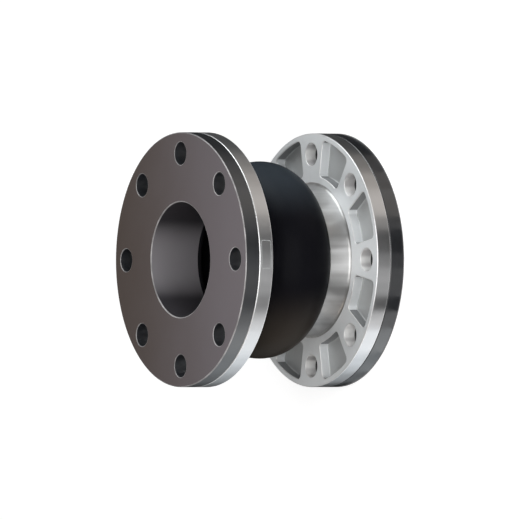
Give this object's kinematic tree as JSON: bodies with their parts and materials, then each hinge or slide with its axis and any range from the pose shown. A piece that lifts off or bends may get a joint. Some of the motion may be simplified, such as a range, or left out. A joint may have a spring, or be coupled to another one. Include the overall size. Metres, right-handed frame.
{
  "type": "rubber expansion joint",
  "caption": "Single-arch rubber pipe expansion joint with full-face end discs and loose cast metal backing flanges, drilled for bolting between two pipe flanges.",
  "frame": {"origin": "centre of the lower end face, on the pipe axis", "axes": "+Z along the pipe axis, from the lower end face to the upper one; +X through the middle of one bolt hole in each end"},
  "size_m": [0.21, 0.21, 0.152],
  "materials": {
    "moulded_rubber": "matt, smooth moulded skin with a slight sheen on the arch",
    "upper_casting": "turned rims and hub, satin cast pockets",
    "lower_casting": "turned rims and hub, satin cast pockets"
  },
  "bodies": {
    "lower_end": {"lower_flange": "lower_casting", "rubber_body": "moulded_rubber"},
    "upper_end": {"upper_flange": "upper_casting"}
  },
  "joints": [
    {"name": "axial_travel", "type": "slide", "parent": "lower_end", "child": "upper_end", "axis": [0, 0, 1], "range_m": [-0.018, 0.01], "stiffness_N_per_m": 60000, "deforming": ["rubber_body"]}
  ]
}
